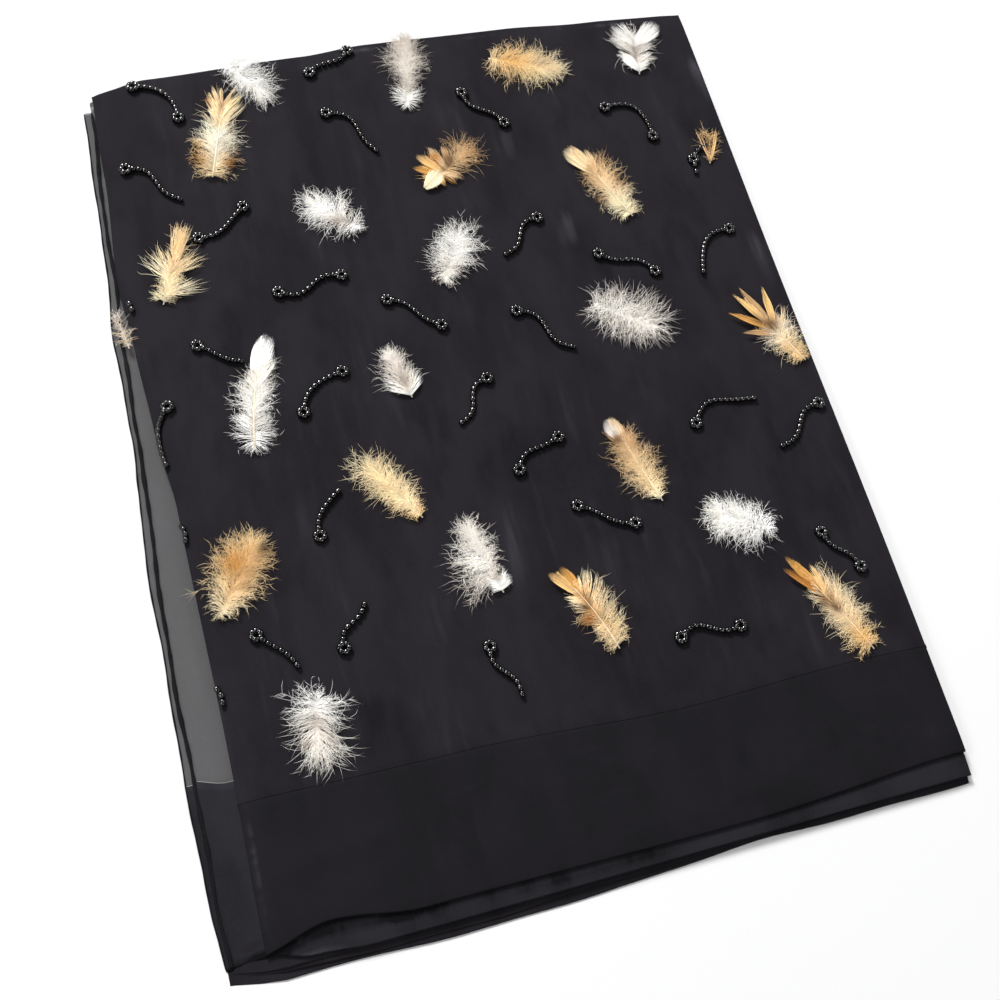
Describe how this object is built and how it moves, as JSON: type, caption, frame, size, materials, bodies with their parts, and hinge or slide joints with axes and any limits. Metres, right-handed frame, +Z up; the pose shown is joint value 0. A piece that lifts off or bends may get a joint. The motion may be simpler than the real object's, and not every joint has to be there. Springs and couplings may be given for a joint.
{
  "type": "evening stole",
  "caption": "Sheer black silk evening stole with sewn-on feathers and strands of glass beads, plain end bands and narrow rolled hems, folded and laid flat.",
  "frame": {"origin": "middle of the flat underside of the folded stole, on the surface that it lies on", "axes": "+X across the folded stole towards the edge where both plies end flush, +Y along it away from the end band, +Z up off the surface"},
  "size_m": [0.35, 0.462, 0.0102],
  "materials": {
    "black_silk": "sheer crepe-textured silk, several plies deep, matt with a faint sheen",
    "band_silk": "the same silk doubled as a plain band or rolled as a narrow hem",
    "sheer_silk": "the same silk one or two plies deep, which lets the surface below show through",
    "white_feather": "natural white and pale grey feather, downy",
    "tan_feather": "natural tan and cream feather, barred brown",
    "golden_feather": "natural golden feather, cream towards the quill",
    "glass_bead": "polished black glass beads"
  },
  "bodies": {
    "root": {"hidden_folds": "black_silk", "under_panel": "sheer_silk", "under_end_band": "band_silk", "side_hem": "band_silk", "upper_panel": "black_silk", "upper_end_band": "band_silk", "feather_01": "golden_feather", "feather_02": "white_feather", "feather_03": "white_feather", "feather_04": "tan_feather", "feather_05": "white_feather", "feather_06": "tan_feather", "feather_07": "golden_feather", "feather_08": "tan_feather", "feather_09": "white_feather", "feather_10": "white_feather", "feather_11": "tan_feather", "feather_12": "white_feather", "feather_13": "golden_feather", "feather_14": "white_feather", "feather_15": "white_feather", "feather_16": "tan_feather", "feather_17": "golden_feather", "feather_18": "white_feather", "feather_19": "golden_feather", "feather_20": "white_feather", "feather_21": "golden_feather", "feather_22": "golden_feather", "feather_23": "white_feather", "feather_24": "tan_feather", "bead_strand_01": "glass_bead", "bead_strand_02": "glass_bead", "bead_strand_03": "glass_bead", "bead_strand_04": "glass_bead", "bead_strand_05": "glass_bead", "bead_strand_06": "glass_bead", "bead_strand_07": "glass_bead", "bead_strand_08": "glass_bead", "bead_strand_09": "glass_bead", "bead_strand_10": "glass_bead", "bead_strand_11": "glass_bead", "bead_strand_12": "glass_bead", "bead_strand_13": "glass_bead", "bead_strand_14": "glass_bead", "bead_strand_15": "glass_bead", "bead_strand_16": "glass_bead", "bead_strand_17": "glass_bead", "bead_strand_18": "glass_bead", "bead_strand_19": "glass_bead", "bead_strand_20": "glass_bead", "bead_strand_21": "glass_bead", "bead_strand_22": "glass_bead", "bead_strand_23": "glass_bead", "bead_strand_24": "glass_bead", "bead_strand_25": "glass_bead", "bead_strand_26": "glass_bead", "bead_strand_27": "glass_bead", "bead_strand_28": "glass_bead"}
  },
  "joints": []
}
